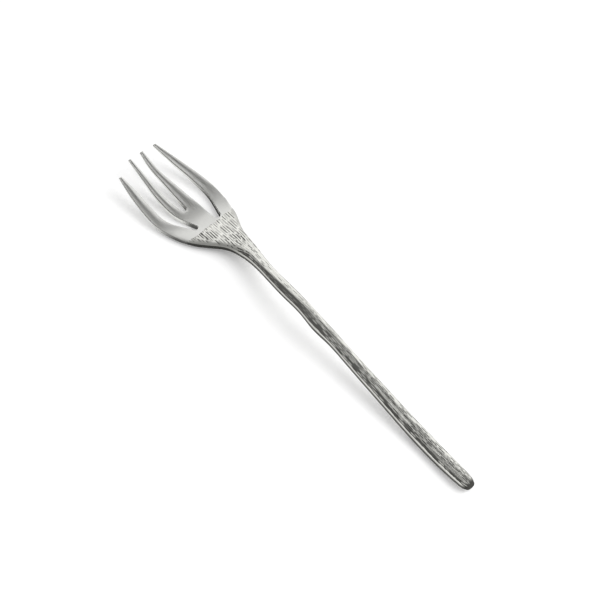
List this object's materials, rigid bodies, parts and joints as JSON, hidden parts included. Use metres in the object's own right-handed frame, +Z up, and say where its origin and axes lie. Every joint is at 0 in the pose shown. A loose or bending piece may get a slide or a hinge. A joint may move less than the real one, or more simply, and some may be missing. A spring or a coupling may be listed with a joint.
{
  "type": "table fork",
  "caption": "Table fork lying face up: a smooth satin tined head whose tang is brazed into a slim, twig-like cast stem with a bark-textured surface; spears and lifts food.",
  "frame": {"origin": "on the table, under the middle of the fork's box", "axes": "+X along the stem from its heel to the tips of the tines, +Y to the near side of the picture, +Z up from the table"},
  "size_m": [0.2068, 0.0326, 0.0139],
  "materials": {
    "satin_steel": "satin, finely brushed along the tines",
    "bark_steel": "cast bark texture, polished ridges over darker grooves",
    "brazing_alloy": "matt, as flowed"
  },
  "bodies": {
    "root": {"tined_head": "satin_steel", "bark_stem": "bark_steel", "braze_sleeve": "brazing_alloy"}
  },
  "joints": []
}
